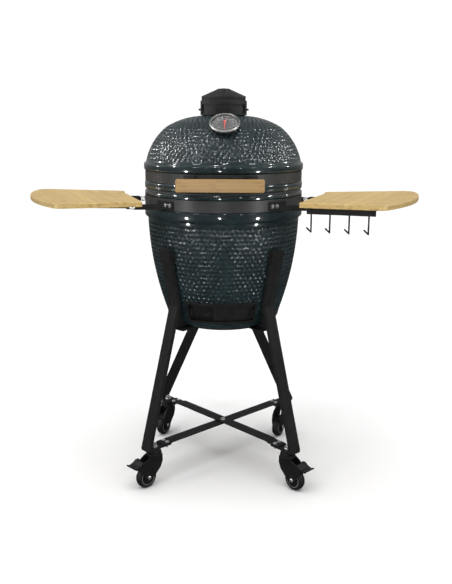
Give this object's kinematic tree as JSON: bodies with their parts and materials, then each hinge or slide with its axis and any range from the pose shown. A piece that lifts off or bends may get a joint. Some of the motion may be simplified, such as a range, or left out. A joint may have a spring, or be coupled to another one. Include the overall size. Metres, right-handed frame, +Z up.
{
  "type": "kamado ceramic grill",
  "caption": "Egg-shaped ceramic charcoal grill with hinged dimpled lid, thermometer, chimney cap and draft door, on a braced steel cart with casters and fold-down wooden shelves.",
  "frame": {"origin": "on the floor, straight below the vertical axis of the ceramic shell", "axes": "+Z up, -Y to the front where the handle, thermometer and draft door are, +X to the right seen from the front"},
  "size_m": [1.31, 0.644, 1.279],
  "materials": {
    "glaze": "glossy dark blue-green glaze over pressed dimples",
    "fire_clay": "matt refractory",
    "band_steel": "dark satin, brushed round",
    "felt": "pressed fibre",
    "frame_paint": "black powder coat",
    "cast_black": "black, fine sand-cast texture",
    "stainless": "satin",
    "zinc": "bright zinc plate",
    "bamboo": "oiled laminated bamboo",
    "rubber": "matt",
    "wheel_rubber": "satin",
    "plastic": "moulded",
    "glass": "clear",
    "dial_face": "matt, printed scale",
    "needle_red": "matt red"
  },
  "bodies": {
    "cart": {"base_shell": "glaze", "base_band": "band_steel", "base_gasket": "felt", "fire_box": "fire_clay", "fire_ring": "fire_clay", "charcoal_grate": "cast_black", "cooking_grate": "stainless", "draft_frame": "cast_black", "draft_frame_screws": "cast_black", "leg_front_left": "frame_paint", "leg_front_right": "frame_paint", "leg_rear_left": "frame_paint", "leg_rear_right": "frame_paint", "arm_pads": "rubber", "cradle": "frame_paint", "brace_bar_lower": "frame_paint", "brace_bar_upper": "frame_paint", "frame_bolts": "zinc", "caster_stems": "zinc", "caster_raceways": "cast_black", "shelf_brackets_left": "frame_paint", "shelf_brackets_right": "frame_paint", "base_band_bolts": "zinc", "shelf_pins": "zinc", "hinge_bracket": "frame_paint", "hinge_pin": "stainless", "hinge_springs": "stainless"},
    "lid": {"lid_shell": "glaze", "lid_band": "band_steel", "lid_gasket": "felt", "handle_bar": "bamboo", "handle_posts": "cast_black", "thermometer_case": "stainless", "thermometer_dial": "dial_face", "thermometer_glass": "glass", "chimney_base": "cast_black", "hinge_arm": "frame_paint", "lid_band_bolts": "zinc"},
    "needle": {"thermometer_needle": "needle_red"},
    "chimney": {"chimney_cap": "cast_black"},
    "screen": {"draft_screen": "cast_black"},
    "shutter": {"draft_shutter": "cast_black"},
    "shelf_left": {"shelf_board_left": "bamboo", "shelf_arms_left": "frame_paint", "shelf_screws_left": "zinc"},
    "shelf_right": {"shelf_board_right": "bamboo", "shelf_arms_right": "frame_paint", "shelf_screws_right": "zinc", "tool_rail": "frame_paint", "tool_hooks": "frame_paint"},
    "swivel_front_left": {"caster_fork_front_left": "plastic"},
    "wheel_front_left": {"caster_wheel_front_left": "wheel_rubber"},
    "pedal_front_left": {"brake_pedal_front_left": "plastic"},
    "swivel_front_right": {"caster_fork_front_right": "plastic"},
    "wheel_front_right": {"caster_wheel_front_right": "wheel_rubber"},
    "pedal_front_right": {"brake_pedal_front_right": "plastic"},
    "swivel_rear_left": {"caster_fork_rear_left": "plastic"},
    "wheel_rear_left": {"caster_wheel_rear_left": "wheel_rubber"},
    "swivel_rear_right": {"caster_fork_rear_right": "plastic"},
    "wheel_rear_right": {"caster_wheel_rear_right": "wheel_rubber"}
  },
  "joints": [
    {"name": "lid_hinge", "type": "hinge", "parent": "cart", "child": "lid", "pos_m": [0, 0.301, 0.965], "axis": [-1, 0, 0], "range_deg": [0, 70]},
    {"name": "chimney_turn", "type": "hinge", "parent": "lid", "child": "chimney", "pos_m": [0, 0, 1.2], "axis": [0, 0, 1], "range_deg": [0, 45]},
    {"name": "needle_turn", "type": "hinge", "parent": "lid", "child": "needle", "pos_m": [0.01, -0.184, 1.1605], "axis": [0, 0.5878, -0.809], "range_deg": [0, 270]},
    {"name": "screen_slide", "type": "hinge", "parent": "cart", "child": "screen", "pos_m": [0, 0, 0.5785], "axis": [0, 0, 1], "range_deg": [0, 19.5]},
    {"name": "shutter_slide", "type": "hinge", "parent": "cart", "child": "shutter", "pos_m": [0, 0, 0.5785], "axis": [0, 0, 1], "range_deg": [-19.5, 0]},
    {"name": "shelf_left_fold", "type": "hinge", "parent": "cart", "child": "shelf_left", "pos_m": [-0.276, 0, 0.9155], "axis": [0, -1, 0], "range_deg": [0, 90]},
    {"name": "shelf_right_fold", "type": "hinge", "parent": "cart", "child": "shelf_right", "pos_m": [0.276, 0, 0.9155], "axis": [0, 1, 0], "range_deg": [0, 90]},
    {"name": "swivel_front_left_turn", "type": "hinge", "parent": "cart", "child": "swivel_front_left", "pos_m": [-0.22, -0.22, 0.1], "axis": [0, 0, 1], "continuous": true},
    {"name": "wheel_front_left_roll", "type": "hinge", "parent": "swivel_front_left", "child": "wheel_front_left", "pos_m": [-0.24404, -0.24404, 0.036], "axis": [0.7071, -0.7071, 0], "continuous": true},
    {"name": "pedal_front_left_press", "type": "hinge", "parent": "swivel_front_left", "child": "pedal_front_left", "pos_m": [-0.25394, -0.25394, 0.082], "axis": [0.7071, -0.7071, 0], "range_deg": [0, 14]},
    {"name": "swivel_front_right_turn", "type": "hinge", "parent": "cart", "child": "swivel_front_right", "pos_m": [0.22, -0.22, 0.1], "axis": [0, 0, 1], "continuous": true},
    {"name": "wheel_front_right_roll", "type": "hinge", "parent": "swivel_front_right", "child": "wheel_front_right", "pos_m": [0.24404, -0.24404, 0.036], "axis": [0.7071, 0.7071, 0], "continuous": true},
    {"name": "pedal_front_right_press", "type": "hinge", "parent": "swivel_front_right", "child": "pedal_front_right", "pos_m": [0.25394, -0.25394, 0.082], "axis": [0.7071, 0.7071, 0], "range_deg": [0, 14]},
    {"name": "swivel_rear_left_turn", "type": "hinge", "parent": "cart", "child": "swivel_rear_left", "pos_m": [-0.22, 0.22, 0.1], "axis": [0, 0, 1], "continuous": true},
    {"name": "wheel_rear_left_roll", "type": "hinge", "parent": "swivel_rear_left", "child": "wheel_rear_left", "pos_m": [-0.23437, 0.18919, 0.036], "axis": [0.9063, -0.4226, 0], "continuous": true},
    {"name": "swivel_rear_right_turn", "type": "hinge", "parent": "cart", "child": "swivel_rear_right", "pos_m": [0.22, 0.22, 0.1], "axis": [0, 0, 1], "continuous": true},
    {"name": "wheel_rear_right_roll", "type": "hinge", "parent": "swivel_rear_right", "child": "wheel_rear_right", "pos_m": [0.20563, 0.18919, 0.036], "axis": [0.9063, -0.4226, 0], "continuous": true}
  ]
}
